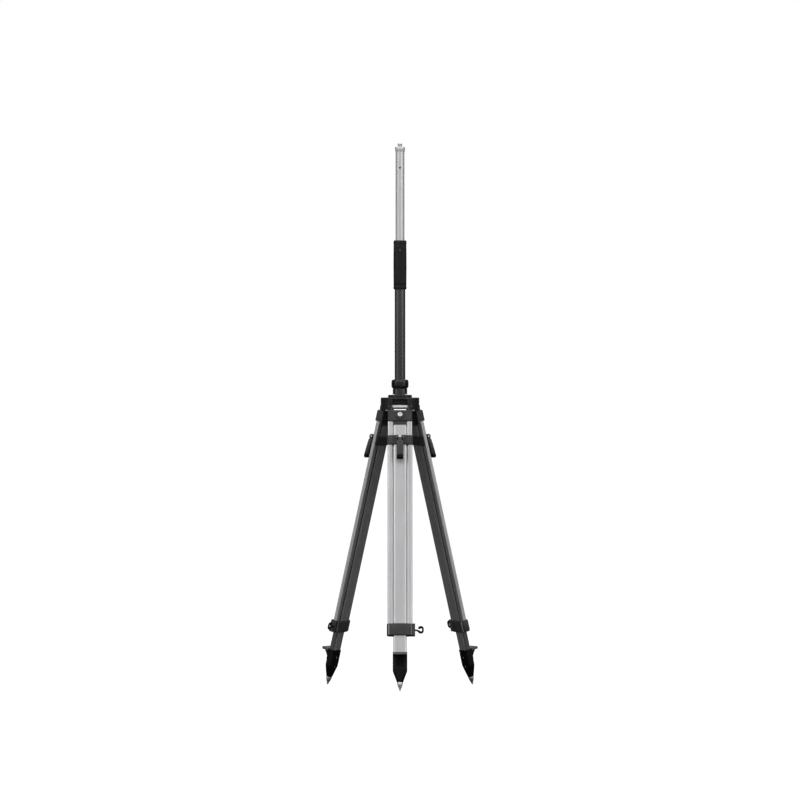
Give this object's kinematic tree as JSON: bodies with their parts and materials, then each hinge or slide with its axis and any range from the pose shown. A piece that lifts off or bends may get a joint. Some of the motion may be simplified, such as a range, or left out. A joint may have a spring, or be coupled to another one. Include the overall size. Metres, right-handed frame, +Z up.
{
  "type": "survey tripod with telescopic pole",
  "caption": "Flat-legged aluminium surveying tripod with sliding legs, cam levers, wing screws and a central telescopic pole ending in a threaded stud.",
  "frame": {"origin": "on the ground, at the centre of the rectangle that the spread tripod covers, so the pole's axis is at Y = 0.0494 m", "axes": "+Z up along the pole; one leg points to -Y, and the other two are 120 degrees either way round the pole's axis from it"},
  "size_m": [0.5208, 0.4728, 1.8],
  "materials": {
    "head_black": "black powder coat on a casting",
    "clamp_grey": "dark grey painted die casting",
    "collar_black": "moulded black nylon",
    "steel": "turned steel",
    "bright_steel": "bright zinc-plated steel",
    "spring_steel": "spring wire",
    "inner_plastic": "moulded acetal",
    "carbon_fibre": "clear-coated woven carbon",
    "grip_black": "soft-touch moulding",
    "button_grey": "moulded plastic",
    "tube_aluminium": "satin anodised tube",
    "leg_aluminium": "satin anodised extrusion",
    "lever_plastic": "glass-filled nylon",
    "wing_black": "glass-filled nylon",
    "shoe_black": "glass-filled nylon",
    "tread_grey": "grey painted steel"
  },
  "bodies": {
    "head": {"tripod_head": "head_black", "base_flange": "head_black", "flange_screws": "steel", "socket_neck": "clamp_grey", "clamp_sleeve": "inner_plastic", "hinge_axle_front": "bright_steel", "hinge_axle_right": "bright_steel", "hinge_axle_left": "bright_steel"},
    "collar": {"locking_collar": "collar_black"},
    "pole": {"carbon_tube": "carbon_fibre", "grip": "grip_black", "tube_bushing": "inner_plastic", "button_spring": "spring_steel"},
    "button": {"snap_button": "button_grey"},
    "mast": {"upper_tube": "tube_aluminium", "upper_tube_plug": "inner_plastic", "top_cap": "tube_aluminium", "top_stud": "steel"},
    "leg_front": {"leg_casting_front": "clamp_grey", "cap_bolt_front": "bright_steel", "leg_rails_front": "leg_aluminium", "upper_band_front": "clamp_grey", "brake_pad_front": "inner_plastic", "lever_pin_front": "bright_steel", "lower_clamp_front": "clamp_grey"},
    "lever_front": {"cam_lever_front": "lever_plastic"},
    "wing_front": {"wing_screw_front": "wing_black"},
    "shank_front": {"inner_leg_front": "leg_aluminium", "guide_shoe_front": "inner_plastic", "foot_shoe_front": "shoe_black", "foot_tread_front": "tread_grey", "spike_front": "steel"},
    "leg_right": {"leg_casting_right": "clamp_grey", "cap_bolt_right": "bright_steel", "leg_rails_right": "leg_aluminium", "upper_band_right": "clamp_grey", "brake_pad_right": "inner_plastic", "lever_pin_right": "bright_steel", "lower_clamp_right": "clamp_grey"},
    "lever_right": {"cam_lever_right": "lever_plastic"},
    "wing_right": {"wing_screw_right": "wing_black"},
    "shank_right": {"inner_leg_right": "leg_aluminium", "guide_shoe_right": "inner_plastic", "foot_shoe_right": "shoe_black", "foot_tread_right": "tread_grey", "spike_right": "steel"},
    "leg_left": {"leg_casting_left": "clamp_grey", "cap_bolt_left": "bright_steel", "leg_rails_left": "leg_aluminium", "upper_band_left": "clamp_grey", "brake_pad_left": "inner_plastic", "lever_pin_left": "bright_steel", "lower_clamp_left": "clamp_grey"},
    "lever_left": {"cam_lever_left": "lever_plastic"},
    "wing_left": {"wing_screw_left": "wing_black"},
    "shank_left": {"inner_leg_left": "leg_aluminium", "guide_shoe_left": "inner_plastic", "foot_shoe_left": "shoe_black", "foot_tread_left": "tread_grey", "spike_left": "steel"}
  },
  "joints": [
    {"name": "collar_twist", "type": "hinge", "parent": "head", "child": "collar", "pos_m": [0, 0.0494, 1], "axis": [0, 0, 1], "range_deg": [0, 120]},
    {"name": "pole_lift", "type": "slide", "parent": "head", "child": "pole", "axis": [0, 0, 1], "range_m": [0, 0.05]},
    {"name": "snap_button", "type": "slide", "parent": "pole", "child": "button", "axis": [0, -1, 0], "range_m": [0, 0.003], "stiffness_N_per_m": 500},
    {"name": "pole_extension", "type": "slide", "parent": "pole", "child": "mast", "axis": [0, 0, 1], "range_m": [-0.273, 0]},
    {"name": "leg_spread_front", "type": "hinge", "parent": "head", "child": "leg_front", "pos_m": [0, 0.0014, 0.9286], "axis": [-1, 0, 0], "range_deg": [-13.9, 16]},
    {"name": "leg_slide_front", "type": "slide", "parent": "leg_front", "child": "shank_front", "axis": [0, -0.2414, -0.9704], "range_m": [0, 0.6]},
    {"name": "lever_front", "type": "hinge", "parent": "leg_front", "child": "lever_front", "pos_m": [0, -0.05427, 0.8291], "axis": [-1, 0, 0], "range_deg": [0, 100]},
    {"name": "wing_screw_front", "type": "hinge", "parent": "leg_front", "child": "wing_front", "pos_m": [0.0506, -0.18062, 0.1969], "axis": [1, 0, 0], "continuous": true},
    {"name": "leg_spread_right", "type": "hinge", "parent": "head", "child": "leg_right", "pos_m": [0.04157, 0.0734, 0.9286], "axis": [0.5, -0.866, 0], "range_deg": [-13.9, 16]},
    {"name": "leg_slide_right", "type": "slide", "parent": "leg_right", "child": "shank_right", "axis": [0.2091, 0.1207, -0.9704], "range_m": [0, 0.6]},
    {"name": "lever_right", "type": "hinge", "parent": "leg_right", "child": "lever_right", "pos_m": [0.08978, 0.10123, 0.8291], "axis": [0.5, -0.866, 0], "range_deg": [0, 100]},
    {"name": "wing_screw_right", "type": "hinge", "parent": "leg_right", "child": "wing_right", "pos_m": [0.1739, 0.20823, 0.1969], "axis": [-0.5, 0.866, 0], "continuous": true},
    {"name": "leg_spread_left", "type": "hinge", "parent": "head", "child": "leg_left", "pos_m": [-0.04157, 0.0734, 0.9286], "axis": [0.5, 0.866, 0], "range_deg": [-13.9, 16]},
    {"name": "leg_slide_left", "type": "slide", "parent": "leg_left", "child": "shank_left", "axis": [-0.2091, 0.1207, -0.9704], "range_m": [0, 0.6]},
    {"name": "lever_left", "type": "hinge", "parent": "leg_left", "child": "lever_left", "pos_m": [-0.08978, 0.10123, 0.8291], "axis": [0.5, 0.866, 0], "range_deg": [0, 100]},
    {"name": "wing_screw_left", "type": "hinge", "parent": "leg_left", "child": "wing_left", "pos_m": [-0.2245, 0.12059, 0.1969], "axis": [-0.5, -0.866, 0], "continuous": true}
  ]
}
